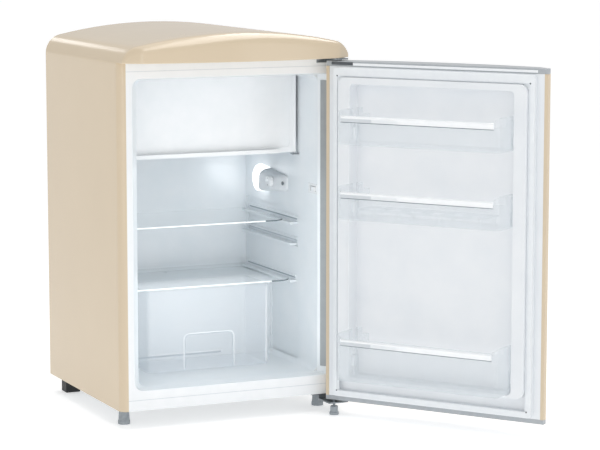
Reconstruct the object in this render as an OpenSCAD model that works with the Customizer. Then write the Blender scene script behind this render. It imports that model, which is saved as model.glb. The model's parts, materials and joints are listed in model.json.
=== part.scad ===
// Retro mini fridge: insulated cabinet, bowed door with bins, freezer box and cooling circuit.
// Millimetres, +Z up, the door opens towards -Y on hinges at the right.

/* [Cabinet] */
// outer width of the cabinet
body_w = 550; // [500:1:600]
// depth of the cabinet without the coil on its back
body_d = 490; // [440:1:540]
// height of the crown above the floor
crown_z = 886; // [840:1:930]
// height of the cabinet's underside above the floor
base_z = 42; // [35:1:55]
// radius of the crowned top across the width
crown_r = 1120; // [1000:5:1300]
// radius of the two upper long edges
edge_r = 45; // [35:1:55]
// radius of the two front vertical edges
front_r = 18; // [12:1:22]
// thickness of the painted sheet
sheet = 1.5; // [1:0.1:2]
// height where the brow over the door begins
brow_z = 822; // [818:1:826]
// furthest reach of the bowed front, measured from the cabinet front
bow_y = 80; // [70:1:90]

/* [Door] */
// distance of the hinge pin from the centre plane
pin_x = 249; // [244:1:252]
// distance of the hinge pin in front of the cabinet
pin_y = -34; // [-38:1:-30]
// angle the door stands open
door_open = 125; // [0:1:130]
// underside of the door
door_z0 = 35; // [33:1:38]
// top of the door
door_z1 = 816; // [812:1:817]
// half width of the recess that holds the bins
recess_x = 203; // [195:1:206]
// radius of the hinge pins
pin_r = 4; // [3:0.5:5]

/* [Inside] */
// half width of the cavity
cav_x = 222; // [215:1:226]
// floor of the cavity
cav_z0 = 90; // [86:1:96]
// ceiling of the cavity
cav_z1 = 780; // [770:1:784]
// back wall of the cavity
cav_y = 445; // [430:1:455]
// top of the step over the compressor
hump_z = 280; // [270:1:284]
// front of the step over the compressor
hump_y = 300; // [296:1:320]
// underside of the upper glass shelf
upper_z = 425; // [410:1:440]
// underside of the lower glass shelf
lower_z = 287; // [285:1:292]
// half width of the glass shelves
shelf_x = 215; // [205:1:216]

/* [Hidden] */
hw = body_w / 2;
crown_cz = crown_z - crown_r;
ecx = hw - edge_r;
ecz = crown_cz + sqrt(pow(crown_r - edge_r, 2) - ecx * ecx);
bow_r = 1071;
shift_x = -153.6;
shift_y = -15.7;
skin_t = 1.2;
bay_y = 342;
bay_z = 240;
bay_x = 260;
$fn = 64;

// ---- helpers ----
module put() {
  translate([shift_x, shift_y, 0])
    children();
}

// carries a piece drawn on the closed door round to the open door
module on_door() {
  put()
    translate([pin_x, pin_y, 0])
      rotate([0, 0, door_open])
        translate([-pin_x, -pin_y, 0])
          children();
}

module box(a, b) {
  translate(a)
    cube([b[0] - a[0], b[1] - a[1], b[2] - a[2]]);
}

// rod between two points that lie on one axis line
module rod_x(x0, x1, y, z, r) {
  translate([x0, y, z])
    rotate([0, 90, 0])
      cylinder(h = x1 - x0, r = r);
}

module rod_y(x, y0, y1, z, r) {
  translate([x, y1, z])
    rotate([90, 0, 0])
      cylinder(h = y1 - y0, r = r);
}

module rod_z(x, y, z0, z1, r) {
  translate([x, y, z0])
    cylinder(h = z1 - z0, r = r);
}

module round_rect(x0, x1, y0, y1, r) {
  translate([x0 + r, y0])
    square([x1 - x0 - 2 * r, y1 - y0]);
  translate([x0, y0 + r])
    square([x1 - x0, y1 - y0 - 2 * r]);
  for (x = [x0 + r, x1 - r])
    for (y = [y0 + r, y1 - r])
      translate([x, y])
        circle(r);
}

// rounded rectangle in X and Z, drawn from y0 to y1
module slab_y(x0, x1, z0, z1, r, y0, y1) {
  translate([0, y1, 0])
    rotate([90, 0, 0])
      linear_extrude(y1 - y0)
        round_rect(x0, x1, z0, z1, r);
}

// front view of the cabinet, inset by t
module crown_2d(t, z0) {
  difference() {
    intersection() {
      translate([0, crown_cz])
        circle(crown_r - t, $fn = 256);
      translate([-hw + t, z0])
        square([2 * (hw - t), crown_z]);
    }
    for (s = [-1, 1])
      difference() {
        polygon([[s * ecx, ecz], [s * (hw + 20), ecz], [s * (hw + 20), crown_z + 20],
          [s * (ecx + 90 * ecx / (crown_r - edge_r)),
          ecz + 90 * (ecz - crown_cz) / (crown_r - edge_r)]]);
        translate([s * ecx, ecz])
          circle(edge_r - t);
      }
  }
}

module crown(t, z0, y0, y1) {
  translate([0, y1, 0])
    rotate([90, 0, 0])
      linear_extrude(y1 - y0)
        crown_2d(t, z0);
}

// plan of the bowed front, inset by t, from y0 forwards
module bow_2d(half, t, y0) {
  k = 185.8 - t;
  xs = half - t;
  intersection() {
    translate([0, bow_r - bow_y])
      circle(bow_r - t, $fn = 256);
    polygon([[xs, y0], [xs, (0.6 * xs - k) / 0.8], [(k - 80) / 0.6, -100],
      [-(k - 80) / 0.6, -100], [-xs, (0.6 * xs - k) / 0.8], [-xs, y0]]);
  }
}

// the strip outside the rounded front vertical edges, below the brow
module front_corner_cut(r) {
  for (s = [-1, 1])
    difference() {
      translate([s > 0 ? hw - front_r : -hw - 5, -5, 0])
        cube([front_r + 5, front_r + 5, brow_z]);
      translate([s * (hw - front_r), front_r, -1])
        cylinder(h = brow_z + 2, r = r);
    }
}

// ---- cavity ----
// space inside the liner, grown by o
module cavity(o) {
  difference() {
    union() {
      slab_y(-cav_x - o, cav_x + o, cav_z0 - o, cav_z1 + o, 16 + o, 29, cav_y + o);
      intersection() {
        slab_y(-242 - o, 242 + o, 87 - o, 785 + o, 20 + o, -1, 30.5 + o);
        linear_extrude(900)
          polygon([[-242.7 - o, -1], [242.7 + o, -1], [cav_x + o, 30], [cav_x + o, 33],
            [-cav_x - o, 33], [-cav_x - o, 30]]);
        translate([-300, 0, 0])
          rotate([90, 0, 90])
            linear_extrude(600)
              polygon([[-1, 86.9 - o], [30, cav_z0 - o], [33, cav_z0 - o], [33, cav_z1 + o],
                [30, cav_z1 + o], [-1, 785.2 + o]]);
      }
    }
    hump(o);
  }
  // dished side walls behind the shelf rails
  for (s = [-1, 1])
    for (b = [[368, 456], [96, 281]])
      box([s > 0 ? cav_x - 1 : -cav_x - 4.5 - o, 138 - o, b[0] - o],
        [s > 0 ? cav_x + 4.5 + o : -cav_x + 1, (b[0] > 200 ? 436 : 296) + o, b[1] + o]);
}

// step over the compressor with a rounded top edge, shrunk by o
module hump(o) {
  r = 22 - o;
  translate([-300, 0, 0])
    rotate([90, 0, 90])
      linear_extrude(600) {
        translate([hump_y + o + r, 60])
          square([200, hump_z - o - 60]);
        translate([hump_y + o, 60])
          square([200, hump_z - o - 60 - r]);
        translate([hump_y + o + r, hump_z - o - r])
          circle(r);
      }
}

// ledges that carry the glass
module ledges() {
  for (z = [upper_z, upper_z - 50, lower_z])
    for (s = [-1, 1])
      box([s > 0 ? 207 : -cav_x - (z > 300 ? 4.6 : 0.5), 150, z - 5],
        [s > 0 ? cav_x + (z > 300 ? 4.6 : 0.5) : -207, 434, z]);
}

module outer_wrap() {
  put()
    color("#dccbb5")
      difference() {
        crown(0, base_z, 0, body_d);
        difference() {
          crown(sheet, base_z - 1, -1, body_d + 1);
          front_corner_cut(front_r - sheet);
        }
        front_corner_cut(front_r);
        box([-hw + front_r, -1, 0], [hw - front_r, front_r, ecz - 20]);
      }
}

// drum whose wall eases the edge where the crown meets the bowed front
module brow_ease() {
  translate([0, -bow_y, crown_z])
    rotate([-45, 0, 0])
      translate([0, 780, -300])
        cylinder(h = 600, r = 771, $fn = 256);
}

module top_brow() {
  put()
    color("#dccbb5")
      difference() {
        intersection() {
          translate([0, 0, brow_z])
            linear_extrude(100)
              bow_2d(hw, 0, 0);
          crown(0, brow_z, -100, 0);
          brow_ease();
        }
        intersection() {
          translate([0, 0, brow_z + 2.5])
            linear_extrude(100)
              bow_2d(hw, 2.5, 1);
          crown(2.5, brow_z + 2.5, -100 + 26, 1);
          box([-300, -100, brow_z], [300, 1, crown_z - 14]);
        }
      }
}

module front_frame() {
  put()
    color("#eef2f4")
      difference() {
        crown(sheet, base_z, 0, 2);
        translate([0, 0, 0])
          box([hw - front_r, -1, 0], [hw + 1, 3, brow_z]);
        box([-hw - 1, -1, 0], [-hw + front_r, 3, brow_z]);
        slab_y(-243.5, 243.5, 85.5, 786.5, 21.5, -1, 3);
        hinge_shanks();
        // seams where the top and bottom rails meet the frame
        for (z = [66, 802])
          box([-hw, -1, z - 0.6], [hw, 0.4, z + 0.6]);
      }
}

module inner_liner() {
  put()
    color("#e6ecef") {
      difference() {
        union() {
          cavity(sheet);
          ledges();
        }
        difference() {
          cavity(0);
          ledges();
        }
        box([-300, -10, 0], [300, 0, 900]);
        switch_block(0);
        rod_z(0, 425, 270, 290, 6);
        // flutes pressed in the back wall
        for (z = [300, 580])
          box([-214, cav_y - 1, z - 2], [214, cav_y + 0.6, z + 2]);
      }
    }
}

module cabinet_foam() {
  put()
    color("#e8dcae")
      difference() {
        crown(sheet, base_z + sheet, 2, body_d - 2);
        front_corner_cut(front_r - sheet);
        cavity(sheet);
        ledges();
        switch_block(0);
        box([-hw, 1, base_z], [-hw + front_r, 3, brow_z]);
        box([hw - front_r, 1, base_z], [hw, 3, brow_z]);
        box([-bay_x, bay_y, 0], [bay_x, 600, bay_z]);
        rod_z(0, 425, 200, 290, 8);
        hinge_shanks();
        back_shanks();
        for (s = [-1, 1])
          rod_z(s * 242, 72, 0, 60, 4.06);
      }
}

module back_panel() {
  put()
    color("#cfd2d3")
      difference() {
        crown(sheet, bay_z, body_d - 2, body_d);
        back_shanks();
        // louvres near the top
        for (i = [0:6])
          box([-90 + i * 30 - 9, body_d - 1, 806], [-90 + i * 30 + 9, body_d + 1, 812]);
      }
}

module base_plate() {
  put()
    color("#9ea3a6")
      difference() {
        box([-hw + sheet, 2, base_z], [hw - sheet, body_d, base_z + sheet]);
        front_corner_cut(front_r - sheet);
        for (s = [-1, 1])
          rod_z(s * 242, 72, 0, 60, 4.06);
        bottom_shanks();
      }
}

module back_shanks() {
  for (s = [-1, 1])
    for (z = [262, 520, 778])
      rod_y(s * 262, body_d - 10, body_d, z, 2);
}

module back_panel_screws() {
  put()
    color("#b9bdc0") {
      back_shanks();
      for (s = [-1, 1])
        for (z = [262, 520, 778])
          difference() {
            rod_y(s * 262, body_d, body_d + 2.5, z, 4);
            box([s * 262 - 3, body_d + 1.5, z - 0.5], [s * 262 + 3, body_d + 3, z + 0.5]);
          }
    }
}

module freezer_box() {
  put()
    color("#c3cbd0")
      difference() {
        union() {
          slab_y(-210, 210, 600, 770, 12, 150, 435);
          // channels of the evaporator pressed in the sheet
          for (i = [0:5])
            rod_x(-190, 190, 180 + i * 44, 770, 3);
        }
        slab_y(-208.5, 208.5, 601.5, 768.5, 10.5, 149, 433.5);
      }
}

module freezer_hangers() {
  put()
    color("#dfe4e6")
      for (s = [-1, 1])
        for (y = [202, 378])
          difference() {
            rod_z(s * 196, y, 769.99, cav_z1, 7);
            box([-211, 140, 760], [211, 440, 770]);
          }
}

module freezer_front_frame() {
  put()
    color("#e9eef1")
      difference() {
        slab_y(-214, 214, 594, 776, 14, 142.5, 150);
        slab_y(-205, 205, 605, 765, 10, 140, 151);
      }
}

module flap_hinge_brackets() {
  put()
    color("#8f979c")
      for (z = [587.5, 773.8])
        difference() {
          box([z > 700 ? 196 : 205, 130, z], [z > 700 ? 216 : cav_x, 142.5, z + 2.2]);
          rod_z(212, 137, z - 1, z + 4, 2.06);
        }
}

// egg-shaped outline of the lamp and thermostat housing on the side wall, inset by o
module lamp_2d(o) {
  translate([345, 511])
    circle(33 - o);
  for (z = [503, 518])
    translate([205, z])
      circle(12 - o);
  polygon([[345, 544 - o], [205, 530 - o], [193 + o, 518], [193 + o, 503], [205, 491 + o],
    [345, 478 + o]]);
}

module wall_slab(x0, x1) {
  translate([x0, 0, 0])
    rotate([90, 0, 90])
      linear_extrude(x1 - x0)
        children();
}

// bulging body that runs out flush with the wall at the front, inset by o
module lamp_form(o) {
  back = cav_x + (o > 1 ? 1 : 0);
  intersection() {
    wall_slab(190, back)
      lamp_2d(o);
    translate([0, 0, 440])
      linear_extrude(140)
        polygon([[cav_x + 2, 180], [216 + o, 180], [216 + o, 192], [204 + o, 230],
          [204 + o, 270], [196 + o, 300], [196 + o, 366 - o], [206 + o, 382 - o],
          [cav_x + 2, 384 - o]]);
    translate([0, 400, 0])
      rotate([90, 0, 0])
        linear_extrude(220)
          polygon([[180, 440], [cav_x + 2, 440], [cav_x + 2, 547.5 - 1.24 * o],
            [180, 515.3 - 1.24 * o]]);
  }
}

module lamp_housing() {
  put()
    color("#dde1e5")
      difference() {
        union() {
          difference() {
            lamp_form(0);
            lamp_form(2);
          }
          intersection() {
            lamp_form(0);
            rod_x(190, cav_x, 205, 511, 7.5);
          }
        }
        // everything beyond the curved joint belongs to the lens
        difference() {
          box([180, 285, 440], [cav_x + 1, 400, 580]);
          rod_x(179, cav_x + 2, 258, 502, 52);
        }
        rod_x(190, 210, 250, 512, 3.06);
        rod_x(190, 213.5, 205, 511, 5.5);
        rod_x(190, cav_x + 1, 205, 511, 2);
        // vents in the upper wall
        for (i = [0:4])
          box([208, 236 + i * 8, 524], [217, 239 + i * 8, 560]);
      }
}

module lamp_lens() {
  put()
    color("#f7fafa")
      difference() {
        lamp_form(0.4);
        lamp_form(2.4);
        box([180, 180, 440], [cav_x + 1, 285, 580]);
        rod_x(180, cav_x + 1, 258, 502, 52.4);
        for (i = [0:5])
          box([190, 320 + i * 7, 460], [197, 321.5 + i * 7, 560]);
      }
}

module lamp_bulb() {
  put()
    color("#fff6df")
      translate([210, 345, 507])
        rotate([0, 90, 0])
          rotate_extrude()
            intersection() {
              union() {
                circle(8.5);
                square([5, cav_x - 210]);
              }
              translate([0, -20])
                square([20, 40]);
            }
}

module thermostat_body() {
  put()
    color("#4a4d50") {
      box([211, 234, 497], [cav_x, 266, 526]);
      // boss and blade terminals
      rod_x(208.5, 211, 250, 512, 7);
      for (i = [0:2])
        box([213, 266, 501 + i * 9], [218, 272, 502 + i * 9]);
    }
}

module housing_screw() {
  put()
    color("#8b9094")
      difference() {
        union() {
          rod_x(211.8, 213.5, 205, 511, 4.5);
          rod_x(213.5, cav_x, 205, 511, 2);
        }
        box([211, 202, 510.4], [212.8, 208, 511.6]);
        box([211, 204.4, 508], [212.8, 205.6, 514]);
      }
}

// pocketed body of the lamp switch, let into the right wall
module switch_block(o) {
  box([cav_x - 0.5, 32 - o, 505 - o], [cav_x + 20 + o, 76 + o, 525 + o]);
}

module lamp_switch_body() {
  put()
    color("#e2e6e8")
      difference() {
        union() {
          switch_block(0);
          box([cav_x - 1, 30.5, 503.5], [cav_x, 77.5, 526.5]);
        }
        box([cav_x - 2, 36, 509], [cav_x + 15, 72, 521]);
        rod_z(cav_x + 6, 66, 507, 523, 2.05);
      }
}

module drain_tube() {
  put()
    color("#d7d9d6")
      difference() {
        rod_z(0, 425, 200, hump_z - sheet, 8);
        rod_z(0, 425, 190, 300, 6);
      }
}

// ---- cooling circuit ----
module compressor_shell() {
  rod_z(-70, 416, 85, 145, 60);
  intersection() {
    translate([-70, 416, 145 - 52.915])
      sphere(80, $fn = 96);
    rod_z(-70, 416, 145, 180, 60);
  }
  intersection() {
    translate([-70, 416, 85 + 52.915])
      sphere(80, $fn = 96);
    rod_z(-70, 416, 50, 85, 60);
  }
}

module compressor() {
  put()
    color("#26282a")
      difference() {
        union() {
          compressor_shell();
          rod_z(-70, 416, 112, 116, 63);
          box([-150, 366, 62], [10, 466, 65]);
        }
        for (x = [-140, 0])
          for (y = [376, 456])
            rod_z(x, y, 50, 70, 5);
      }
}

module compressor_mounts() {
  put()
    color("#2c2c2c")
      for (x = [-140, 0])
        for (y = [376, 456])
          difference() {
            union() {
              rod_z(x, y, base_z + sheet, 62, 9);
              rod_z(x, y, 62, 65, 5);
              rod_z(x, y, 65, 69, 8);
            }
            rod_z(x, y, 40, 80, 2.5);
          }
}

module relay_box() {
  put()
    color("#35383a")
      difference() {
        union() {
          box([-20, 394, 92], [18, 438, 142]);
          box([18, 400, 98], [21, 432, 136]);
        }
        rod_z(-70, 416, 80, 150, 60);
        rod_z(-70, 416, 112, 116, 63);
      }
}

module evaporation_tray() {
  put()
    color("#3b3f42")
      difference() {
        union() {
          box([-152, 358, 173], [16, 474, 198]);
          // pads that rest on the dome
          rod_z(-70, 416, 172.085, 173, 14);
        }
        box([-150, 360, 175], [14, 472, 200]);
        compressor_shell();
      }
}

coil_n = 8;
module condenser_coil() {
  y = 501;
  put()
    color("#2b2e30") {
      for (i = [0:coil_n])
        rod_x(-205, 205, y, 300 + i * 58, 2.6);
      for (i = [0:coil_n - 1])
        translate([i % 2 == 0 ? 205 : -205, y, 329 + i * 58])
          rotate([90, i % 2 == 0 ? 0 : 180, 0])
            rotate([0, 0, -90])
              rotate_extrude(angle = 180)
                translate([29, 0])
                  circle(2.6, $fn = 24);
      for (i = [0:16])
        for (s = [-1, 1])
          rod_z(-192 + i * 24, y + s * 3.45, 290, 774, 0.8);
    }
}

module condenser_clips() {
  put()
    color("#5c6164")
      for (s = [-1, 1])
        for (z = [329, 735])
          difference() {
            box([s * 216 - 7, body_d, z - 9], [s * 216 + 7, body_d + 15, z + 9]);
            rod_z(s * 234, 501, z - 20, z + 20, 2.7);
            box([s * 216 - 8, body_d + 3, z - 40], [s * 216 + 8, body_d + 16, z - 5]);
            box([s * 216 - 8, body_d + 3, z + 5], [s * 216 + 8, body_d + 16, z + 40]);
            translate([s * 205, 501, z])
              rotate([90, 0, 0])
                rotate_extrude()
                  translate([29, 0])
                    circle(3.2, $fn = 24);
          }
}

module filter_drier() {
  put()
    color("#b87a4b") {
      rod_z(120, 446, 90, 170, 10);
      rod_z(120, 446, 78, 90, 5);
      rod_z(120, 446, 170, 182, 5);
    }
}

// a pipe bend made of straight runs with ball corners
module pipe_ball(p) {
  translate(p)
    sphere(3.2, $fn = 32);
}

module refrigerant_pipes() {
  put()
    color("#b87a4b")
      difference() {
        union() {
          // discharge line to the coil
          rod_x(-200, -128, 416, 130, 3.2);
          pipe_ball([-200, 416, 130]);
          rod_y(-200, 416, 501, 130, 3.2);
          pipe_ball([-200, 501, 130]);
          rod_z(-200, 501, 130, 297.4, 3.2);
          // liquid line to the drier
          rod_x(120, 200, 446, 62, 3.2);
          pipe_ball([120, 446, 62]);
          rod_z(120, 446, 62, 78, 3.2);
          pipe_ball([200, 446, 62]);
          rod_y(200, 446, 480, 62, 3.2);
          pipe_ball([200, 480, 62]);
          rod_z(200, 480, 62, 150, 3.2);
          // thin line from the drier into the insulation
          rod_z(120, 446, 182, bay_z, 2);
        }
        compressor_shell();
        rod_z(-70, 416, 112, 116, 63);
      }
}

module cord_inlet() {
  put()
    color("#3a3d3f")
      difference() {
        union() {
          box([222, 472, base_z + sheet], [252, 476, 86]);
          rod_y(237, 466, 484, 68, 9);
        }
        rod_y(237, 460, 490, 68, 4);
      }
}

// ---- feet ----
module rear_feet() {
  put()
    color("#2e3032")
      for (s = [-1, 1])
        box([s * 232 - 18, 446, 0], [s * 232 + 18, 481, base_z]);
}

module front_foot(s) {
  put()
    color("#9ea5a9") {
      translate([s * 242, 72, 0])
        cylinder(h = 8, r = 14);
      translate([s * 242, 72, 8])
        cylinder(h = 26, r1 = 13, r2 = 11.5);
      translate([s * 242, 72, 34])
        cylinder(h = base_z - 0.3 - 34, r = 12.5);
      rod_z(s * 242, 72, base_z - 0.3, 56, 4);
    }
}

module front_foot_left() {
  front_foot(-1);
}

module front_foot_right() {
  front_foot(1);
}

module hinge_foot() {
  put()
    color("#a3abaf") {
      rod_z(232, -40, 0, 6, 11);
      rod_z(232, -40, 6, 20, 9);
      rod_z(232, -40, 20, 33, 3);
    }
}

// ---- hinges ----
module hinge_shanks() {
  for (x = [212, 228])
    rod_y(x, -1.2, 16, 813.5, 2);
}

module bottom_shanks() {
  for (x = [206, 222])
    rod_z(x, 40, 36.5, base_z + 5, 2);
}

module top_hinge() {
  put()
    color("#7d8487") {
      difference() {
        union() {
          box([205, -1.2, 809.6], [262, 0, 821]);
          box([226, -34, 818], [262, 0, 821]);
          box([235, -48, 818], [262, -34, 821]);
          rod_z(235, -40, 818, 821, 8);
        }
        hinge_shanks();
      }
      rod_z(pin_x, pin_y, 799, 818, pin_r);
    }
}

module bottom_hinge() {
  put()
    color("#7d8487") {
      difference() {
        union() {
          box([196, 5, base_z - 3], [262, 60, base_z]);
          box([214, 5, 28], [262, 8, base_z - 3]);
          box([214, -52, 28], [262, 5, 31]);
        }
        rod_z(232, -40, 20, 40, 3.06);
        bottom_shanks();
        rod_z(242, 72, 0, 60, 16);
      }
      rod_z(pin_x, pin_y, 31, 51, pin_r);
    }
}

module hinge_screws() {
  put()
    color("#a7adb0") {
      hinge_shanks();
      difference() {
        bottom_shanks();
        box([190, 30, base_z + sheet], [240, 50, 60]);
      }
      for (x = [206, 222])
        rod_z(x, 40, 36.5, 39, 4);
    }
}

module hinge_washer() {
  put()
    color("#e9e9e4")
      difference() {
        rod_z(pin_x, pin_y, 31, door_z0 - 0.3, 8);
        rod_z(pin_x, pin_y, 30, 40, pin_r);
      }
}

// ---- door, drawn closed ----
module bush_holes(r) {
  rod_z(pin_x, pin_y, door_z0 - 1, 53, r);
  rod_z(pin_x, pin_y, 797, door_z1 + 1, r);
}

module door_skin() {
  on_door()
    color("#dccbb5")
      translate([0, 0, 45])
        linear_extrude(759)
          difference() {
            bow_2d(274, 0, -14);
            bow_2d(274, skin_t, -15.5);
            translate([-266, -20])
              square([532, 10]);
          }
}

module door_cap(z0, z1) {
  difference() {
    translate([0, 0, z0])
      linear_extrude(z1 - z0)
        bow_2d(274, 0, -14);
    bush_holes(7);
  }
}

module door_top_cap() {
  on_door()
    color("#b9bfc3")
      door_cap(804, door_z1);
}

module door_bottom_cap() {
  on_door()
    color("#b9bfc3")
      door_cap(door_z0, 45);
}

// body of the inner door on the insulation side of its sheet, inset by t
module door_inner(t) {
  difference() {
    union() {
      box([-266, -40, 45], [266, -14 - t, 804]);
      slab_y(-233 + t, 233 - t, 90 + t, 781 - t, 18 - t, -40, 6 - t);
    }
    slab_y(-recess_x - t, recess_x + t, 96 - t, 766 + t, 10 + t, -30 - t, 20);
  }
}

module door_liner() {
  on_door()
    color("#e9edf0") {
      difference() {
        door_inner(0);
        door_inner(1.5);
        difference() {
          box([-300, -41, 40], [300, -15.5, 810]);
          slab_y(-recess_x - 1.5, recess_x + 1.5, 94.5, 767.5, 11.5, -31.5, 0);
        }
      }
      lugs();
    }
}

// hooks that carry the bins
lug_z = [[644, 668], [474, 498], [120, 144]];
module lugs() {
  for (z = lug_z)
    for (s = [-1, 1])
      box([s > 0 ? 196 : -recess_x, -18, z[0]], [s > 0 ? recess_x : -196, -6, z[1]]);
}

module door_foam() {
  on_door()
    color("#e8dcae")
      difference() {
        union() {
          translate([0, 0, 45])
            linear_extrude(759)
              bow_2d(274, skin_t, -15.5);
          slab_y(-231.5, 231.5, 91.5, 779.5, 16.5, -40, 4.5);
        }
        slab_y(-recess_x - 1.5, recess_x + 1.5, 94.5, 767.5, 11.5, -31.5, 20);
        bush_holes(7);
      }
}

module door_gasket() {
  on_door()
    color("#dfe2e3")
      difference() {
        union() {
          slab_y(-249, 249, 48, 802, 8, -14, -9);
          slab_y(-247, 247, 50, 800, 6, -9, -5);
          slab_y(-249, 249, 48, 802, 8, -5, -0.3);
        }
        slab_y(-238, 238, 62, 783, 4, -15, 1);
      }
}

module door_bushes() {
  on_door()
    color("#f0f0ea")
      difference() {
        union() {
          rod_z(pin_x, pin_y, door_z0, 53, 7);
          rod_z(pin_x, pin_y, 797, door_z1, 7);
        }
        rod_z(pin_x, pin_y, 30, 52, pin_r + 0.06);
        rod_z(pin_x, pin_y, 798, 830, pin_r + 0.06);
      }
}

module door_handle() {
  on_door()
    color("#c9ced1")
      difference() {
        union() {
          rod_z(-205, -112, 490, 690, 9);
          for (z = [490, 690]) {
            translate([-205, -112, z])
              sphere(9);
            rod_y(-205, -112, -50, z + (z > 600 ? -18 : 18), 7);
            rod_y(-205, -66, -50, z + (z > 600 ? -18 : 18), 12);
          }
        }
        translate([0, 0, 400])
          linear_extrude(400)
            bow_2d(274, 0, -14);
      }
}

// ---- pieces that move in the cabinet ----
module freezer_flap() {
  put()
    color("#edf1f4") {
      difference() {
        union() {
          slab_y(-216, 212, 593, 773, 8, 134, 140);
          box([206, 134, 595], [212, 140, 771]);
          rod_z(212, 137, 593, 773, 4.4);
          // grip along the lower edge
          box([-190, 125, 593], [170, 134, 596]);
          box([-190, 122, 593], [170, 125, 602]);
        }
        slab_y(-204, 198, 606, 762, 6, 133, 135);
      }
      rod_z(212, 137, 586, 593, 2);
      rod_z(212, 137, 773, 775.8, 2);
    }
}

module shelf_plate(y0, z) {
  difference() {
    translate([0, 0, z])
      linear_extrude(4)
        difference() {
          translate([-shelf_x, y0])
            square([2 * shelf_x, 434 - y0]);
          for (s = [-1, 1])
            difference() {
              translate([s > 0 ? shelf_x - 40 : -shelf_x - 1, y0 - 1])
                square([41, 41]);
              translate([s * (shelf_x - 40), y0 + 40])
                circle(40);
            }
        }
  }
}

module upper_shelf() {
  put()
    color("#cfe0e2", 0.5)
      shelf_plate(178, upper_z);
}

module lower_shelf() {
  put()
    color("#cfe0e2", 0.5)
      shelf_plate(143, lower_z);
}

module crisper() {
  put()
    color("#dbe6ea", 0.5)
      difference() {
        union() {
          translate([0, 0, 92])
            linear_extrude(191)
              round_rect(-152, 152, 150, 292, 12);
          // runners under the floor and the lip round the top
          for (s = [-1, 1])
            box([s * 130 - 3, 160, cav_z0], [s * 130 + 3, 285, 92]);
          translate([0, 0, 279])
            linear_extrude(4)
              round_rect(-155, 155, 147, 294, 14);
        }
        translate([0, 0, 94.5])
          linear_extrude(200)
            round_rect(-149.5, 149.5, 152.5, 289.5, 9.5);
        // arched grip relief pressed in the front
        translate([0, 151.2, 0])
          rotate([90, 0, 0])
            linear_extrude(3)
              difference() {
                round_rect(-64, 64, 70, 180, 14);
                round_rect(-59, 59, 60, 175, 10);
                translate([-80, 40])
                  square([160, 60]);
              }
      }
}

module thermostat_knob() {
  put()
    color("#eceff1")
      difference() {
        union() {
          rod_x(195, 203.5, 250, 512, 13);
          rod_x(193.5, 195, 250, 512, 11.5);
          rod_x(203.5, 208, 250, 512, 3);
        }
        // pointer groove and the two marks on the face
        box([192, 249, 512], [194.3, 251, 516]);
        for (z = [504, 520])
          rod_x(192, 194.5, 250, z, 1.6);
        for (i = [0:11])
          translate([192, 250, 512])
            rotate([i * 30, 0, 0])
              rod_x(0, 11, 14.4, 0, 2.4);
      }
}

module lamp_switch_rocker() {
  put()
    color("#f4f5f5") {
      translate([0, 0, 510])
        linear_extrude(10)
          polygon([[cav_x - 5, 38], [cav_x + 4, 38], [cav_x + 4, 70], [cav_x + 1, 70],
            [cav_x - 5, 54]]);
      rod_z(cav_x + 6, 66, 507.2, 522.8, 2);
      rod_z(cav_x + 6, 66, 510, 520, 3.6);
    }
}

// ---- bins on the door, drawn closed ----
module bin_plan(o) {
  yb = -29.5;
  yf = bin_y;
  translate([-200 + o, yb + o])
    square([400 - 2 * o, 60 - o]);
  round_rect(-200 + o, 200 - o, 0, yf - o, 12 - o);
}

end_rise = 12;
bin_y = 72;
module bin_box(z0, z1, lug) {
  difference() {
    translate([0, 0, z0])
      linear_extrude(z1 + end_rise - z0)
        bin_plan(0);
    // the ends stand higher than the front and the back
    box([-188, -40, z1], [188, bin_y + 10, z1 + end_rise + 1]);
    wall_slab(-201, 201)
      polygon([[bin_y - 13, z1 + 12.1], [bin_y - 6, z1 + 10], [bin_y - 2, z1 + 6],
        [bin_y + 0.1, z1], [bin_y + 5, z1], [bin_y + 5, z1 + 14], [bin_y - 13, z1 + 14]]);
    translate([0, 0, z0 + 2.5])
      linear_extrude(z1 + end_rise - z0)
        difference() {
          bin_plan(2.5);
          for (s = [-1, 1])
            translate([s > 0 ? 192 : -201, -21.5])
              square([9, 19]);
        }
    // low cut in the back edge
    box([-170, -31, z1 - 18], [170, -26, z1 + 1]);
    // sockets that drop over the hooks
    for (s = [-1, 1])
      box([s > 0 ? 195.5 : -201, -18.5, z0 - 1], [s > 0 ? 201 : -195.5, -5.5, lug]);
    for (s = [-1, 1])
      box([s > 0 ? 190 : -201, -22, lug + 3], [s > 0 ? 201 : -190, -2, z1 + end_rise + 1]);
  }
}

// bright bar along the front of a bin
module bin_trim(z0, z1) {
  difference() {
    union() {
      box([-188, bin_y, z0], [188, bin_y + 2.4, z1]);
      rod_x(-188, 188, bin_y, z1 - 2, 2.9);
    }
    box([-190, 40, z0 - 10], [190, bin_y, z1 + 10]);
  }
}

module top_bin() {
  on_door()
    color("#e4eaed", 0.6)
      bin_box(636, 700, 668);
}

module top_bin_trim() {
  on_door()
    color("#fafafa")
      bin_trim(687.5, 700);
}

module middle_bin() {
  on_door()
    color("#e4eaed", 0.6)
      bin_box(468, 530, 498);
}

module middle_bin_trim() {
  on_door()
    color("#fafafa")
      bin_trim(517.5, 530);
}

module low_bin() {
  on_door()
    color("#e4eaed", 0.6)
      bin_box(101, 196, 144);
}

module low_bin_trim() {
  on_door()
    color("#fafafa")
      bin_trim(183.5, 196);
}

module egg_tray() {
  on_door()
    color("#f2f4f5")
      difference() {
        union() {
          translate([0, 0, 488])
            linear_extrude(3)
              round_rect(-160, 160, -20, 60, 8);
          for (x = [-150, -50, 50, 150])
            for (y = [-14, 54])
              rod_z(x, y, 470.5, 488, 4);
        }
        for (i = [0:5])
          rod_z(-130 + i * 52, 20, 486, 496, 19);
      }
}

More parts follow.
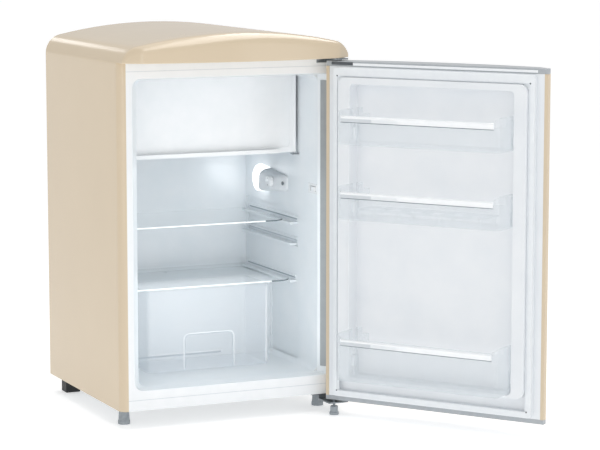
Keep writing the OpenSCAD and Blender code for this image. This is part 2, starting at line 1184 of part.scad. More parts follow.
outer_wrap();
top_brow();
front_frame();
inner_liner();
cabinet_foam();
back_panel();
base_plate();
back_panel_screws();
freezer_box();
freezer_hangers();
freezer_front_frame();
flap_hinge_brackets();
lamp_housing();
lamp_lens();
lamp_bulb();
thermostat_body();
housing_screw();
lamp_switch_body();
drain_tube();
compressor();
compressor_mounts();
relay_box();
evaporation_tray();
condenser_coil();
condenser_clips();
filter_drier();
refrigerant_pipes();
cord_inlet();
rear_feet();
top_hinge();
bottom_hinge();
hinge_screws();
hinge_washer();
door_skin();
door_top_cap();
door_bottom_cap();
door_liner();
door_foam();
door_gasket();
door_bushes();
door_handle();
freezer_flap();
upper_shelf();
lower_shelf();
crisper();
top_bin();
top_bin_trim();
middle_bin();
middle_bin_trim();
low_bin();
low_bin_trim();
egg_tray();
thermostat_knob();
lamp_switch_rocker();
hinge_foot();
front_foot_left();
front_foot_right();
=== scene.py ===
import json
import math

import bmesh
import bpy
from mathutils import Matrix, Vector

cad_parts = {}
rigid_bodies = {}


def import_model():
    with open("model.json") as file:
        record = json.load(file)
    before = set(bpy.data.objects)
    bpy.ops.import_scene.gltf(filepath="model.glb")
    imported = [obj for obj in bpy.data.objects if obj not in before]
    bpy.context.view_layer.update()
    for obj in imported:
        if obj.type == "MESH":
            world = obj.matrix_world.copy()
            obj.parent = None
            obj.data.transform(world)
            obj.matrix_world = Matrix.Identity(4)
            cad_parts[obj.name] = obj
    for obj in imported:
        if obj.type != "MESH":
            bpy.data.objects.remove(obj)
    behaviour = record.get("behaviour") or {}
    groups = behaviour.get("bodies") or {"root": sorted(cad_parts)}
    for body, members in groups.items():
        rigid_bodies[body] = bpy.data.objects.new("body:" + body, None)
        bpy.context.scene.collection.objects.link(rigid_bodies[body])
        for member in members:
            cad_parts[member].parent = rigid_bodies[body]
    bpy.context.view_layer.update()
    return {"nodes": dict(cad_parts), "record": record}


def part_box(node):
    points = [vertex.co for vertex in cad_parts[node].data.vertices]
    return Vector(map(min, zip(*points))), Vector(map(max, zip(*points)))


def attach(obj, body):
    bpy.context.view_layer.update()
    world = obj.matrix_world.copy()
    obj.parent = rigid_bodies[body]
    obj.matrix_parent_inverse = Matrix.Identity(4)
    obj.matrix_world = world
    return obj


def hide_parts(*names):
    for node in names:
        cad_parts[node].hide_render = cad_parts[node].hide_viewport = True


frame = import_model()
NODES = frame["nodes"]
BODIES = frame["record"]["behaviour"]["bodies"]
BODY_OF = {n: b for b, names in BODIES.items() for n in names}

# ---- places, in metres, worked out from the frame ----
wrap_lo, wrap_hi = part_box("outer_wrap")
CX = (wrap_lo.x + wrap_hi.x) / 2
FRONT = wrap_lo.y
BACK = wrap_hi.y
HALF = (wrap_hi.x - wrap_lo.x) / 2
CROWN = wrap_hi.z


# ---- materials ----
def material(name, light, dark, rough, spread=0.06, scale=60.0, bump=0.05, fine=600.0,
             metal=0.0, alpha=1.0, coat=0.0, glow=0.0, stretch=(1, 1, 1), specular=0.5,
             edge=0.0, tint=(1, 1, 1)):
    """Principled material with mottled colour, uneven roughness and a fine bump, all in object space."""
    m = bpy.data.materials.new(name)
    m.use_nodes = True
    nt = m.node_tree
    nt.nodes.clear()
    out = nt.nodes.new("ShaderNodeOutputMaterial")
    p = nt.nodes.new("ShaderNodeBsdfPrincipled")
    nt.links.new(p.outputs[0], out.inputs[0])
    coord = nt.nodes.new("ShaderNodeTexCoord")
    mapping = nt.nodes.new("ShaderNodeMapping")
    mapping.inputs["Scale"].default_value = stretch
    nt.links.new(coord.outputs["Object"], mapping.inputs[0])
    broad = nt.nodes.new("ShaderNodeTexNoise")
    broad.inputs["Scale"].default_value = scale
    broad.inputs["Detail"].default_value = 4
    nt.links.new(mapping.outputs[0], broad.inputs["Vector"])
    grain = nt.nodes.new("ShaderNodeTexNoise")
    grain.inputs["Scale"].default_value = fine
    grain.inputs["Detail"].default_value = 3
    nt.links.new(mapping.outputs[0], grain.inputs["Vector"])
    ramp = nt.nodes.new("ShaderNodeValToRGB")
    ramp.color_ramp.elements[0].position = 0.3
    ramp.color_ramp.elements[0].color = (*dark, 1)
    ramp.color_ramp.elements[1].position = 0.7
    ramp.color_ramp.elements[1].color = (*light, 1)
    nt.links.new(broad.outputs["Fac"], ramp.inputs[0])
    nt.links.new(ramp.outputs[0], p.inputs["Base Color"])
    rmap = nt.nodes.new("ShaderNodeMapRange")
    rmap.inputs["To Min"].default_value = max(rough - spread, 0.02)
    rmap.inputs["To Max"].default_value = rough + spread
    nt.links.new(broad.outputs["Fac"], rmap.inputs[0])
    nt.links.new(rmap.outputs[0], p.inputs["Roughness"])
    b = nt.nodes.new("ShaderNodeBump")
    b.inputs["Strength"].default_value = bump
    b.inputs["Distance"].default_value = 0.0004
    nt.links.new(grain.outputs["Fac"], b.inputs["Height"])
    nt.links.new(b.outputs[0], p.inputs["Normal"])
    p.inputs["Metallic"].default_value = metal
    p.inputs["Alpha"].default_value = alpha
    p.inputs["Coat Weight"].default_value = coat
    p.inputs["Coat Roughness"].default_value = 0.06
    p.inputs["Specular IOR Level"].default_value = specular
    if edge:
        facing = nt.nodes.new("ShaderNodeLayerWeight")
        facing.inputs["Blend"].default_value = 0.35
        amap = nt.nodes.new("ShaderNodeMapRange")
        amap.inputs["To Min"].default_value = alpha
        amap.inputs["To Max"].default_value = edge
        nt.links.new(facing.outputs["Facing"], amap.inputs[0])
        nt.links.new(amap.outputs[0], p.inputs["Alpha"])
    if glow:
        p.inputs["Emission Color"].default_value = (*tint, 1)
        p.inputs["Emission Strength"].default_value = glow
    return m


def srgb(r, g, b):
    """Display colour 0-255 to the linear value that a material holds."""
    return tuple((c / 255 / 12.92) if c / 255 <= 0.04045 else ((c / 255 + 0.055) / 1.055) ** 2.4
                 for c in (r, g, b))


cream = material("cream_enamel", srgb(217, 200, 174), srgb(215, 198, 172), 0.17, 0.02, 6, 0.01, 1400,
                 specular=0.32)
white = material("white_gloss_plastic", srgb(244, 246, 248), srgb(240, 243, 245), 0.24, 0.04, 30, 0.03,
                 1800)
liner = material("vacuum_formed_liner", srgb(238, 242, 245), srgb(232, 238, 242), 0.30, 0.05, 14, 0.05,
                 1500)
door_white = material("door_liner_white", srgb(236, 239, 242), srgb(231, 235, 239), 0.32, 0.05, 14, 0.05,
                      1500)
foam = material("cut_foam", srgb(232, 214, 160), srgb(214, 192, 136), 0.95, 0.03, 200, 0.6, 900)
zinc = material("zinc_sheet", srgb(190, 194, 196), srgb(168, 173, 176), 0.42, 0.1, 45, 0.08, 700,
                metal=0.7)
steel = material("zinc_hardware", srgb(150, 156, 160), srgb(118, 124, 128), 0.34, 0.1, 240, 0.12, 2500,
                 metal=0.85)
alu = material("freezer_aluminium", srgb(210, 216, 220), srgb(196, 203, 208), 0.36, 0.08, 60, 0.15, 900,
               metal=0.9, stretch=(1, 8, 1))
glass = material("shelf_glass", srgb(226, 238, 238), srgb(220, 234, 234), 0.05, 0.02, 12, 0.01, 500,
                 alpha=0.08, specular=0.9)
clear = material("clear_styrene", srgb(222, 229, 234), srgb(214, 222, 228), 0.10, 0.03, 40, 0.04, 700,
                 alpha=0.12, specular=0.8, edge=0.5)
faint = material("crisper_styrene", srgb(236, 241, 247), srgb(230, 236, 244), 0.12, 0.03, 40, 0.04, 700,
                 alpha=0.07, specular=0.8, edge=0.42)
# painted highlight: a faintly glowing bright edge stands in for the glint along the shelves' front edges
painted_glass_glint = material("painted_glass_edge_glint", srgb(250, 253, 253), srgb(244, 250, 250), 0.08, 0.02, 60, 0.01,
                      800, glow=0.2)
# painted shade: dark grey for the shelf edges where they turn round the corner, and for the line under the
# bin trims
painted_edge_shade = material("painted_edge_shade_grey", srgb(118, 130, 136), srgb(96, 108, 114), 0.12, 0.03, 60, 0.01,
                     800)
# painted highlight and painted shade for the moulded grip and folds of the clear crisper
fold_painted_highlight = material("painted_fold_highlight", srgb(250, 252, 255), srgb(246, 249, 252), 0.12, 0.03, 60, 0.02, 900,
                alpha=0.7)
fold_painted_shade = material("painted_fold_shade", srgb(196, 204, 212), srgb(186, 195, 204), 0.2, 0.03, 60, 0.02,
                     900, alpha=0.75)
# dark grey: painted shade for the pocket beside the door's hinge, also used for the dark spots at the seal's
# mitred corners and the marks on the knob
painted_shade_and_marks = material("recess_shade_and_marks", srgb(96, 101, 106), srgb(80, 85, 90), 0.6, 0.05, 60, 0.05, 800)
# white of the bin trims, also used as a painted highlight on the lip under the door's top cap
trim_white_and_cap_highlight = material("bright_white_trim_and_cap_highlight", srgb(248, 250, 252), srgb(243, 246, 249), 0.12, 0.03, 60, 0.02, 1500,
                coat=0.5)
# painted shade: grey for the flared mouth of the cavity where the open door shades it
band = material("mouth_painted_shade_grey", srgb(164, 169, 172), srgb(157, 162, 166), 0.5, 0.04, 40, 0.03, 1500)
# grey of the rail seams, also used as painted shade on the bin trims
seam_and_trim_shade = material("frame_seam_and_trim_shade", srgb(214, 219, 224), srgb(208, 214, 219), 0.6, 0.04, 60, 0.03, 1500)
cap = material("silver_grey_cap", srgb(178, 183, 187), srgb(170, 175, 180), 0.30, 0.04, 80, 0.06, 1600)
foot = material("foot_grey", srgb(166, 173, 178), srgb(148, 155, 161), 0.5, 0.08, 150, 0.2, 1500)
black_metal = material("black_enamel", srgb(34, 35, 37), srgb(26, 27, 29), 0.36, 0.08, 70, 0.15, 900)
black_plastic = material("black_plastic", srgb(40, 41, 43), srgb(31, 32, 34), 0.55, 0.08, 150, 0.3, 1600)
copper = material("copper_tube", srgb(205, 132, 96), srgb(172, 98, 66), 0.3, 0.12, 90, 0.1, 800,
                  metal=0.95)
rubber = material("black_rubber", srgb(36, 36, 37), srgb(26, 26, 27), 0.8, 0.1, 200, 0.3, 1400)
# white of the door seal, also used as a light painted shade on the bin trims
seal_and_trim_shade = material("seal_rubber_and_trim_shade", srgb(236, 240, 243), srgb(232, 236, 240), 0.5, 0.05, 60, 0.05, 1600)
nylon = material("nylon", srgb(236, 236, 230), srgb(226, 226, 219), 0.45, 0.06, 90, 0.1, 1300)
chrome = material("chrome_bar", srgb(214, 217, 220), srgb(202, 206, 209), 0.09, 0.04, 50, 0.02, 900,
                  metal=1.0)
housing = material("housing_grey_white", srgb(232, 235, 238), srgb(225, 229, 232), 0.34, 0.05, 70, 0.08,
                   1700)
lens = material("lamp_diffuser", srgb(255, 255, 255), srgb(250, 251, 252), 0.3, 0.05, 90, 0.1, 900,
                glow=1.2)
bulb = material("bulb_glass", srgb(255, 250, 236), srgb(252, 246, 228), 0.2, 0.05, 90, 0.05, 900, glow=2.0)

FINISH = {
    cream: ["outer_wrap", "top_brow", "door_skin"],
    white: ["front_frame", "freezer_front_frame", "freezer_flap", "thermostat_knob", "lamp_switch_rocker",
            "lamp_switch_body"],
    liner: ["inner_liner", "drain_tube"],
    door_white: ["door_liner"],
    foam: ["cabinet_foam", "door_foam"],
    zinc: ["back_panel", "base_plate"],
    steel: ["back_panel_screws", "top_hinge", "bottom_hinge", "hinge_screws", "housing_screw",
            "flap_hinge_brackets"],
    alu: ["freezer_box"],
    glass: ["upper_shelf", "lower_shelf"],
    clear: ["top_bin", "middle_bin", "low_bin", "egg_tray"],
    faint: ["crisper"],
    trim_white_and_cap_highlight: ["top_bin_trim", "middle_bin_trim", "low_bin_trim"],
    cap: ["door_top_cap", "door_bottom_cap"],
    foot: ["hinge_foot", "front_foot_left", "front_foot_right"],
    black_metal: ["compressor", "condenser_coil"],
    black_plastic: ["relay_box", "evaporation_tray", "cord_inlet", "rear_feet", "thermostat_body",
                    "condenser_clips"],
    copper: ["refrigerant_pipes", "filter_drier"],
    rubber: ["compressor_mounts"],
    seal_and_trim_shade: ["door_gasket"],
    nylon: ["door_bushes", "hinge_washer", "freezer_hangers"],
    chrome: ["door_handle"],
    housing: ["lamp_housing"],
    lens: ["lamp_lens"],
    bulb: ["lamp_bulb"],
}
FINISH_OF = {n: m for m, names in FINISH.items() for n in names}


# ---- shapes ----
def set_finish(obj, mat):
    obj.data.materials.clear()
    obj.data.materials.append(mat)


def eased(node, bevel=0.0008, seg=2, angle=30):
    """A copy of a CAD node with flat faces merged, edges eased and curved faces shaded smooth."""
    me = NODES[node].data.copy()
    bm = bmesh.new()
    bm.from_mesh(me)
    bmesh.ops.remove_doubles(bm, verts=bm.verts, dist=1e-6)
    bmesh.ops.dissolve_limit(bm, angle_limit=math.radians(0.4), verts=bm.verts, edges=bm.edges)
    limit = math.radians(angle)
    for f in bm.faces:
        f.smooth = True
    for e in bm.edges:
        e.smooth = len(e.link_faces) == 2 and e.calc_face_angle(0) < limit
    bm.to_mesh(me)
    bm.free()
    if me.attributes.get("custom_normal"):
        me.attributes.remove(me.attributes["custom_normal"])
    obj = bpy.data.objects.new("fine_" + node, me)
    bpy.context.scene.collection.objects.link(obj)
    set_finish(obj, FINISH_OF[node])
    if bevel:
        mod = obj.modifiers.new("ease", "BEVEL")
        mod.width = bevel
        mod.segments = seg
        mod.limit_method = "ANGLE"
        mod.angle_limit = limit
        mod.harden_normals = True
        mod.miter_outer = "MITER_ARC"
    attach(obj, BODY_OF[node])
    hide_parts(node)
    return obj


def add_mesh(name, verts, faces):
    me = bpy.data.meshes.new(name)
    me.from_pydata(verts, [], faces)
    obj = bpy.data.objects.new(name, me)
    bpy.context.scene.collection.objects.link(obj)
    return obj


def shade(obj, angle=30):
    """Smooth faces, with edges over the angle kept sharp; face normals made to agree."""
    bm = bmesh.new()
    bm.from_mesh(obj.data)
    bmesh.ops.remove_doubles(bm, verts=bm.verts, dist=1e-6)
    bmesh.ops.recalc_face_normals(bm, faces=bm.faces)
    for f in bm.faces:
        f.smooth = True
    for e in bm.edges:
        e.smooth = len(e.link_faces) == 2 and e.calc_face_angle(0) < math.radians(angle)
    bm.to_mesh(obj.data)
    bm.free()


def loft(name, rings, angle=30):
    """Closed sections joined along their order, with both ends capped."""
    n = len(rings[0])
    verts = [p for ring in rings for p in ring]
    faces = [(i * n + j, i * n + (j + 1) % n, (i + 1) * n + (j + 1) % n, (i + 1) * n + j)
             for i in range(len(rings) - 1) for j in range(n)]
    faces.append(tuple(range(n))[::-1])
    faces.append(tuple((len(rings) - 1) * n + j for j in range(n)))
    obj = add_mesh(name, verts, faces)
    shade(obj, angle)
    return obj


for name, obj in NODES.items():
    set_finish(obj, FINISH_OF[name])

EASED = {
    "outer_wrap": 0.0004, "front_frame": 0.0, "inner_liner": 0.0012,
    "freezer_flap": 0.0012, "door_liner": 0.0025,
    "door_skin": 0.0, "door_top_cap": 0.0015, "door_bottom_cap": 0.0015, "door_gasket": 0.0012,
    "upper_shelf": 0.0008, "lower_shelf": 0.0008, "crisper": 0.0008, "top_bin": 0.0008,
    "middle_bin": 0.0008, "low_bin": 0.0008, "top_bin_trim": 0.0008, "middle_bin_trim": 0.0008,
    "low_bin_trim": 0.0008, "rear_feet": 0.002, "thermostat_knob": 0.0008, "egg_tray": 0.0006,
    "freezer_front_frame": 0.001,
}
for name, width in EASED.items():
    eased(name, width)


# ---- brow over the door ----
CROWN_R = 1.120
EDGE_R = 0.045
BOW_R = 1.071
brow_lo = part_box("top_brow")[0]
BOW = FRONT - brow_lo.y
BROW_Z = brow_lo.z
edge_x = HALF - EDGE_R
edge_z = CROWN - CROWN_R + math.sqrt((CROWN_R - EDGE_R) ** 2 - edge_x ** 2)


def crown_height(x):
    """Height of the cabinet's top at a distance x from the centre plane."""
    x = abs(x)
    if x < edge_x * CROWN_R / (CROWN_R - EDGE_R):
        return CROWN - CROWN_R + math.sqrt(CROWN_R ** 2 - x ** 2)
    return edge_z + math.sqrt(max(EDGE_R ** 2 - (x - edge_x) ** 2, 0))


def bow_reach(x, ease=0.014):
    """How far the bowed front stands out at x: arc in the middle, facet, then an eased corner."""
    x = abs(x)
    arc = BOW - BOW_R + math.sqrt(BOW_R ** 2 - x ** 2)
    facet = (0.1858 - 0.6 * x) / 0.8
    if x > HALF - ease + 0.6 * ease:
        facet = 0.026 - 0.5 * ease + math.sqrt(max(ease ** 2 - (x - HALF + ease) ** 2, 0))
    return min(arc, facet)


def brow_section(x, radius=0.026, steps=14):
    top = crown_height(x) - 0.0001
    reach = bow_reach(x) - 0.0002
    r = min(radius, 0.48 * (top - BROW_Z), 0.6 * reach)
    pts = [(0, BROW_Z + 0.0001), (reach - 0.0015, BROW_Z + 0.0001), (reach, BROW_Z + 0.0016)]
    for i in range(steps + 1):
        a = math.pi / 2 * i / steps
        pts.append((reach - r + r * math.cos(a), top - r + r * math.sin(a)))
    pts.append((0, top))
    return [(CX + x, FRONT - y, z) for y, z in pts]


end = HALF - 0.0008
stations = [end * math.sin(math.pi / 2 * t / 44) for t in range(-44, 45)]
brow = loft("fine_top_brow", [brow_section(x) for x in stations], 19)
set_finish(brow, cream)
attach(brow, "cabinet")
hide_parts("top_brow")


# ---- small things: painted highlights and painted shade, with a few real seams, lips and ribs ----
def strip(name, centre, z0, z1, mat, body, depth=0.0006, skin=0.0003):
    """A band that follows a line of plan points, standing from z0 to z1."""
    rings = []
    for i, p in enumerate(centre):
        a = centre[max(i - 1, 0)]
        b = centre[min(i + 1, len(centre) - 1)]
        t = (Vector(b) - Vector(a)).normalized()
        side = Vector((t.y, -t.x))
        o = Vector(p) + side * skin
        q = Vector(p) - side * depth
        rings.append([(o.x, o.y, z0), (o.x, o.y, z1), (q.x, q.y, z1), (q.x, q.y, z0)])
    obj = loft(name, rings, 40)
    set_finish(obj, mat)
    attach(obj, body)
    return obj


def shelf_front(node, body):
    """Painted highlight along the front of a glass plate, and painted shade where it turns round the corner.
    """
    lo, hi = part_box(node)
    r = 0.040
    z0 = lo.z + 0.0009
    z1 = hi.z - 0.0003

    def corner(sign, a0, a1, steps=8):
        cx = (hi.x - r) if sign > 0 else (lo.x + r)
        pts = []
        for i in range(steps + 1):
            a = math.radians(a0 + (a1 - a0) * i / steps)
            pts.append((cx + sign * r * math.sin(a), lo.y + r - r * math.cos(a)))
        return pts

    left = corner(-1, 60, 0)
    end = hi.x - 0.058
    straight = [(lo.x + (end - lo.x) * t, lo.y) for t in (0.3, 0.5, 0.7, 1.0)]
    strip("glint_" + node, left + straight, z0, z1, painted_glass_glint, body)
    turn_line = [(end + 0.0005, lo.y), (hi.x - r - 0.001, lo.y)] + corner(1, 2, 52)
    strip("turn_shade_" + node, turn_line, z0, z1, painted_edge_shade, body)


shelf_front("upper_shelf", "shelf_a")
shelf_front("lower_shelf", "shelf_b")

JOINTS = {j["name"]: j for j in frame["record"]["behaviour"]["joints"]}
PIVOT = Vector(JOINTS["door_swing"]["pos_m"])
OPEN = math.radians(-JOINTS["door_swing"]["range_deg"][0])


def door_at(x, y, z):
    """Where a point of the closed door is on the open one; x, y, z from centre plane, front and floor."""
    dx = CX + x - PIVOT.x
    dy = FRONT + y - PIVOT.y
    return (PIVOT.x + dx * math.cos(OPEN) - dy * math.sin(OPEN),
            PIVOT.y + dx * math.sin(OPEN) + dy * math.cos(OPEN), z)


def disc(r, sides=16):
    """Outline of a small disc."""
    turns = [2 * math.pi * t / sides for t in range(sides)]
    return [(r * math.cos(a), r * math.sin(a)) for a in turns]


def eased_outline(y0, y1, z0, z1, ease):
    """Outline of a bar with its four corners cut by ease."""
    return [(y0 + ease, z0), (y1 - ease, z0), (y1, z0 + ease), (y1, z1 - ease), (y1 - ease, z1),
            (y0 + ease, z1), (y0, z1 - ease), (y0, z0 + ease)]


def hull_between(name, near, far, mat, body, angle=30):
    """Two matching outlines joined into one closed piece."""
    obj = loft(name, [near, far], angle)
    set_finish(obj, mat)
    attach(obj, body)
    return obj


def door_bar(name, x0, x1, y0, y1, z0, z1, mat, body="door", ease=0.0006):
    """Bar on the closed door with eased long edges, carried to the open door."""
    outline = eased_outline(y0, y1, z0, z1, ease)
    near, far = ([door_at(x, y, z) for y, z in outline] for x in (x0, x1))
    return hull_between(name, near, far, mat, body)


# bright bead that closes the joint under the top cap, a painted highlight on the cap's glossy lip, and
# painted shade for the pocket beside the hinge
door_bar("cap_lip_highlight", -0.250, 0.205, -0.0145, -0.0128, 0.8062, 0.8118, trim_white_and_cap_highlight)
door_bar("cap_pocket_shade", 0.2055, 0.2600, -0.0145, -0.0130, 0.8072, 0.8140, painted_shade_and_marks)

# pale inner lip of the seal, beside the raised rim of the liner
door_bar("seal_lip_hinge", 0.2333, 0.2378, -0.0046, -0.0028, 0.0625, 0.7828, seal_and_trim_shade)
door_bar("seal_lip_free", -0.2378, -0.2333, -0.0046, -0.0028, 0.0625, 0.7828, seal_and_trim_shade)
door_bar("seal_lip_top", -0.2378, 0.2378, -0.0044, -0.0026, 0.7812, 0.7829, seal_and_trim_shade, ease=0.0004)

for name, side in (("seal_lip_corner_hinge", 1), ("seal_lip_corner_free", -1)):
    inner, outer = sorted((side * 0.2210, side * 0.2377))
    door_bar(name, inner, outer, -0.0066, -0.0048, 0.7700, 0.7828, seal_and_trim_shade)

# painted shade line under each bin's trim, and painted shade greying the trim towards the hinge, drawn in the
# seam grey and the seal white
for body, top in (("bin_a", 0.700), ("bin_b", 0.530), ("bin_c", 0.196)):
    door_bar("trim_shade_line_" + body, -0.1878, 0.1878, 0.0718, 0.0738, top - 0.0141, top - 0.0126, painted_edge_shade,
             body, ease=0.0003)
    for part, x0, x1, mat in (("far", 0.110, 0.1875, seam_and_trim_shade), ("near", 0.045, 0.1099, seal_and_trim_shade)):
        door_bar("trim_shade_%s_%s" % (part, body), x0, x1, 0.0744, 0.07466, top - 0.0122, top - 0.0050, mat,
                 body, ease=0.0001)

# mitred corners of the seal
for i, (x, z) in enumerate(((0.2385, 0.7835), (-0.2385, 0.7835), (0.2385, 0.0615), (-0.2385, 0.0615))):
    rim = disc(0.0022)
    hull_between("seal_corner_%d" % i, [door_at(x + a, -0.0012, z + b) for a, b in rim],
                 [door_at(x + a * 0.8, -0.0001, z + b * 0.8) for a, b in rim], painted_shade_and_marks, "door")


def cabinet_bar(name, x0, x1, y0, y1, z0, z1, mat, ease=0.0002):
    """Bar along the width of the cabinet front with eased long edges."""
    outline = eased_outline(y0, y1, z0, z1, ease)
    return hull_between(name, [(CX + x0, FRONT + y, z) for y, z in outline],
                        [(CX + x1, FRONT + y, z) for y, z in outline], mat, "cabinet")


# joints of the top and bottom rails with the front frame
for name, z in (("top_rail_seam", 0.802), ("bottom_rail_seam", 0.066)):
    cabinet_bar(name, -0.2565, 0.2565, -0.0002, 0.0006, z - 0.0007, z + 0.0007, seam_and_trim_shade)

# painted shade in the flared mouth of the cavity on the hinge side: a thin grey strip where the open door
# shades it
flare = [(0.2390, 0.0030), (0.2262, 0.0228)]
flare += [(x - 0.0008, y - 0.0005) for x, y in reversed(flare)]
shade_foot, shade_head = ([(CX + x, FRONT + y, z) for x, y in flare] for z in (0.104, 0.768))
hull_between("mouth_shade_strip", shade_foot, shade_head, band, "cabinet")

# slots and ribs pressed in the side walls over the ledges; each slot is a thin grey strip of painted shade
painted_slot_shade = material("rail_slot_shade", srgb(176, 186, 192), srgb(168, 178, 185), 0.5, 0.04, 60, 0.03, 1500)
painted_slot_shade_soft = material("rail_slot_shade_soft", srgb(206, 214, 219), srgb(200, 208, 214), 0.5, 0.04, 60, 0.03, 1500)


def rail_line(name, sign, wall, y0, y1, z0, z1, out, mat):
    """Moulded line along a side wall, standing out from it."""
    x = [wall + 0.0001, wall - out]
    e = min(0.0004, (z1 - z0) / 4)
    outline = [(x[0], z0), (x[1], z0 + e), (x[1], z1 - e), (x[0], z1)]
    hull_between(name, [(CX + sign * a, FRONT + y0, b) for a, b in outline],
                 [(CX + sign * a, FRONT + y1, b) for a, b in outline], mat, "cabinet")


# level, wall, foot and top of the slot, top of the rib, how far the rib stands out, material of the slot's
# painted shade
RAILS = (
    ("top", 0.2265, 0.4300, 0.4335, 0.4400, 0.0030, painted_slot_shade),
    ("mid", 0.2265, 0.3800, 0.3828, 0.3890, 0.0030, painted_slot_shade_soft),
    ("low", 0.2220, 0.2914, 0.2946, 0.3000, 0.0026, painted_slot_shade),
)
SLOT_DEPTH = 0.0006
for sign, side_name in ((-1, "left"), (1, "right")):
    for level, wall, z0, z1, z2, out, mat in RAILS:
        rail_line("slot_%s_%s" % (level, side_name), sign, wall, 0.152, 0.430, z0, z1, SLOT_DEPTH, mat)
        rail_line("rib_%s_%s" % (level, side_name), sign, wall, 0.148, 0.432, z1 + 0.0001, z2, out, liner)

# ---- lamp and thermostat housing ----
WALL = CX + 0.222 - 0.0001
EGG = [(0.345, 0.544), (0.205, 0.530), (0.193, 0.518), (0.193, 0.503), (0.205, 0.491), (0.345, 0.478)]
HUB = (0.258, 0.502)
JOINT_R = 0.052


def in_egg(y, z):
    """Whether a point of the side wall lies inside the housing's outline."""
    if math.hypot(y - 0.345, z - 0.511) < 0.033:
        return True
    if min(math.hypot(y - 0.205, z - 0.503), math.hypot(y - 0.205, z - 0.518)) < 0.012:
        return True
    for i, (ya, za) in enumerate(EGG):
        yb, zb = EGG[(i + 1) % len(EGG)]
        if (yb - ya) * (z - za) - (zb - za) * (y - ya) < 0:
            return False
    return True


def egg_reach(a):
    """Distance from the hub to the outline in the direction a."""
    lo, hi = 0.0, 0.16
    for _ in range(30):
        mid = (lo + hi) / 2
        if in_egg(HUB[0] + mid * math.cos(a), HUB[1] + mid * math.sin(a)):
            lo = mid
        else:
            hi = mid
    return lo - 0.0003


def smooth(t):
    t = min(max(t, 0.0), 1.0)
    return t * t * (3 - 2 * t)


def stand_off(y):
    """How far the middle of the housing stands off the wall at a depth y."""
    return 0.0075 + 0.0105 * smooth((y - 0.196) / 0.042) + 0.0078 * smooth((y - 0.264) / 0.044)


def dome(a, r, reach):
    y = HUB[0] + r * math.cos(a)
    z = HUB[1] + r * math.sin(a)
    s = min(r / reach, 1.0)
    return (WALL - stand_off(y) * (1 - s ** 4) ** 0.45, FRONT + y, z)


TURN = [2 * math.pi * i / 120 for i in range(120)]
REACH = [egg_reach(a) for a in TURN]
EDGE = [min(q, JOINT_R) if math.cos(a) > 0.1 else q for a, q in zip(TURN, REACH)]
levels = [0.03] + [i / 24 for i in range(2, 22)] + [0.9, 0.93, 0.96, 0.98, 0.99, 1.0]
rings = [[dome(a, q * t, full) for a, q, full in zip(TURN, EDGE, REACH)] for t in levels]
rings.append([(WALL, FRONT + HUB[0] + q * math.cos(a), HUB[1] + q * math.sin(a)) for a, q in zip(TURN, EDGE)])
body = loft("fine_lamp_housing", rings, 50)
set_finish(body, housing)
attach(body, "cabinet")
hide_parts("lamp_housing")

sections = []
for step in range(-200, 201):
    a = math.pi * step / 400
    full = egg_reach(a)
    if full < JOINT_R + 0.0006:
        continue
    outer = [JOINT_R + 0.0004 + (full - JOINT_R - 0.0004) * t for t in
             [i / 14 for i in range(12)] + [0.9, 0.95, 0.98, 1.0]]
    front = [dome(a, r, full) for r in outer]
    back = [(WALL, p[1], p[2]) for p in (front[-1], front[0])]
    sections.append(front + back)
shade_obj = loft("fine_lamp_lens", sections, 50)
set_finish(shade_obj, lens)
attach(shade_obj, "cabinet")
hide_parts("lamp_lens")

# dark marks on the knob
knob_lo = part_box("thermostat_knob")[0]
for i, z in enumerate((0.504, 0.520)):
    rim = disc(0.0029)
    hull_between("knob_mark_%d" % i, [(knob_lo.x + 0.0002, FRONT + 0.250 + a, z + b) for a, b in rim],
                 [(knob_lo.x + 0.0012, FRONT + 0.250 + a * 0.8, z + b * 0.8) for a, b in rim],
                 painted_shade_and_marks, "knob")


def u_band(name, x, w, z0, z1, r, y, mat, body, skin=0.0004):
    """An upturned U of band w wide, standing on z0, against a flat front at y."""
    cx = CX + x
    outer = [(-w[0], z0), (-w[0], z1 - r)]
    outer += [(-w[0] + r - r * math.cos(math.pi / 2 * t / 6), z1 - r + r * math.sin(math.pi / 2 * t / 6))
              for t in range(1, 7)]
    path = outer + [(-a, b) for a, b in outer[::-1]]
    rings = []
    for i, p in enumerate(path):
        a = Vector(path[max(i - 1, 0)])
        b = Vector(path[min(i + 1, len(path) - 1)])
        t = (b - a).normalized()
        n = Vector((-t.y, t.x))
        o = Vector(p)
        q = Vector(p) - n * w[1]
        rings.append([(cx + o.x, y - skin, o.y), (cx + q.x, y - skin, q.y), (cx + q.x, y + 0.0008, q.y),
                      (cx + o.x, y + 0.0008, o.y)])
    obj = loft(name, rings, 40)
    set_finish(obj, mat)
    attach(obj, body)
    return obj


# arched grip moulded in the front of the crisper, drawn as a band of painted highlight over a band of painted
# shade
crisp_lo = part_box("crisper")[0]
grip_y = crisp_lo.y + 0.0034
grip_z = crisp_lo.z + 0.006
u_band("grip_arch_highlight", 0, (0.064, 0.0022), grip_z, 0.180, 0.014, grip_y, fold_painted_highlight, "crisper_box")
u_band("grip_shade", 0, (0.0612, 0.0012), grip_z, 0.1772, 0.0125, grip_y, fold_painted_shade, "crisper_box")

# painted highlight down the fold at the crisper's front corner, and a painted highlight over a painted shade
# along its back
turn = [math.radians(a) for a in range(20, 62, 5)]
CORNER = (CX + 0.140, FRONT + 0.162)
CORNER_R = 0.012
fold_line = [(CORNER[0] + CORNER_R * math.sin(a), CORNER[1] - CORNER_R * math.cos(a)) for a in turn]
strip("crisper_corner_highlight", fold_line, 0.100, 0.276, fold_painted_highlight, "crisper_box")


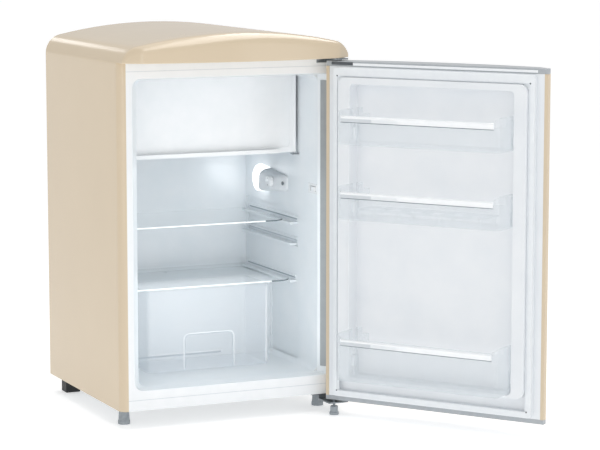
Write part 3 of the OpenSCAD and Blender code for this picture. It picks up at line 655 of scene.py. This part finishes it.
def crisper_bar(name, x0, x1, z0, z1, mat, y0=0.2884, y1=0.2893):
    """Bar along the inside of the crisper's back wall."""
    outline = [(y0, z0), (y1, z0), (y1, z1), (y0, z1)]
    near, far = ([(CX + x, FRONT + y, z) for y, z in outline] for x in (x0, x1))
    hull_between(name, near, far, mat, "crisper_box")


crisper_bar("crisper_back_highlight", -0.1485, 0.092, 0.1045, 0.1080, fold_painted_highlight)
crisper_bar("crisper_back_shade", -0.1485, 0.088, 0.1000, 0.1040, fold_painted_shade)

# clear plastic and glass hardly shade what stands behind them
for obj in bpy.context.scene.objects:
    if obj.type == "MESH" and any(m in (glass, clear, faint, fold_painted_highlight, fold_painted_shade) for m in obj.data.materials):
        obj.visible_shadow = False
        obj.visible_diffuse = False
bpy.context.scene.cycles.transparent_max_bounces = 32

# ---- stage ----
REACH = 80
corners = ((-REACH, -REACH), (REACH, -REACH), (REACH, REACH), (-REACH, REACH))
floor = add_mesh("floor", [(x, y, -0.0005) for x, y in corners], [(0, 1, 2, 3)])
set_finish(floor, material("studio_floor", (0.90, 0.90, 0.90), (0.895, 0.895, 0.895), 0.7, 0.03, 2, 0.0, 50,
                           glow=0.47))


def area_light(name, where, target, size, power, tint=(1, 1, 1)):
    """Square soft light that faces a target."""
    data = bpy.data.lights.new(name, "AREA")
    data.shape = "SQUARE"
    data.size = size
    data.energy = power
    data.color = tint
    obj = bpy.data.objects.new(name, data)
    bpy.context.scene.collection.objects.link(obj)
    obj.location = where
    obj.rotation_mode = "QUATERNION"
    obj.rotation_quaternion = (Vector(target) - Vector(where)).to_track_quat("-Z", "Y")
    return obj


middle = (CX, 0.0, 0.45)
area_light("key", (-1.6, -3.2, 1.9), middle, 2.2, 11.0)
area_light("fill", (1.8, -3.0, 0.8), middle, 1.5, 7.4)
area_light("top", (CX, 0.2, 3.0), middle, 2.4, 27)
inside = area_light("cavity_fill", (CX, FRONT - 0.02, 0.33), (CX, BACK, 0.33), 0.44, 0.30, (0.93, 0.98, 1.0))
inside.visible_camera = False

# narrow lights seen only in the gloss of the enamel
for name, where, wide, tall, power in (("gloss_over", (0.45, -0.35, 2.6), 3.8, 1.30, 105),
                                       ("gloss_side", (-1.9, -3.2, 0.35), 0.2, 0.9, 9),
                                       ("gloss_back", (-0.5, 3.6, 2.0), 0.6, 0.30, 1.3)):
    gloss = area_light(name, where, middle, wide, power)
    gloss.data.shape = "RECTANGLE"
    gloss.data.size_y = tall
    gloss.visible_camera = False
    gloss.visible_diffuse = False
    gloss.visible_transmission = False
    gloss.visible_volume_scatter = False

# the lamp's own light on the walls near it
lamp_light = bpy.data.lights.new("lamp", "POINT")
lamp_light.energy = 0.045
lamp_light.shadow_soft_size = 0.02
lamp_obj = bpy.data.objects.new("lamp", lamp_light)
bpy.context.scene.collection.objects.link(lamp_obj)
lamp_obj.location = (CX + 0.165, FRONT + 0.375, 0.515)
lamp_obj.visible_camera = False

world = bpy.data.worlds.new("studio")
world.use_nodes = True
bg = world.node_tree.nodes["Background"]
bg.inputs[0].default_value = (1, 1, 1, 1)
bg.inputs[1].default_value = 0.60
bpy.context.scene.world = world
bpy.context.scene.view_settings.view_transform = "Standard"

# ---- camera ----
cam_data = bpy.data.cameras.new("camera")
cam = bpy.data.objects.new("camera", cam_data)
bpy.context.scene.collection.objects.link(cam)
SENSOR_MM = 36
LENS_MM = 140.84
EYE = (-2.2173, -4.8423, 1.1635)
cam_data.sensor_width = SENSOR_MM
cam_data.lens = LENS_MM
YAW = math.radians(24.774)
PITCH = math.radians(7.753)
cam.location = EYE
aim = Vector((math.sin(YAW) * math.cos(PITCH), math.cos(YAW) * math.cos(PITCH), -math.sin(PITCH)))
cam.rotation_mode = "QUATERNION"
cam.rotation_quaternion = aim.to_track_quat("-Z", "Y")
cam_data.clip_end = 60
bpy.context.scene.camera = cam
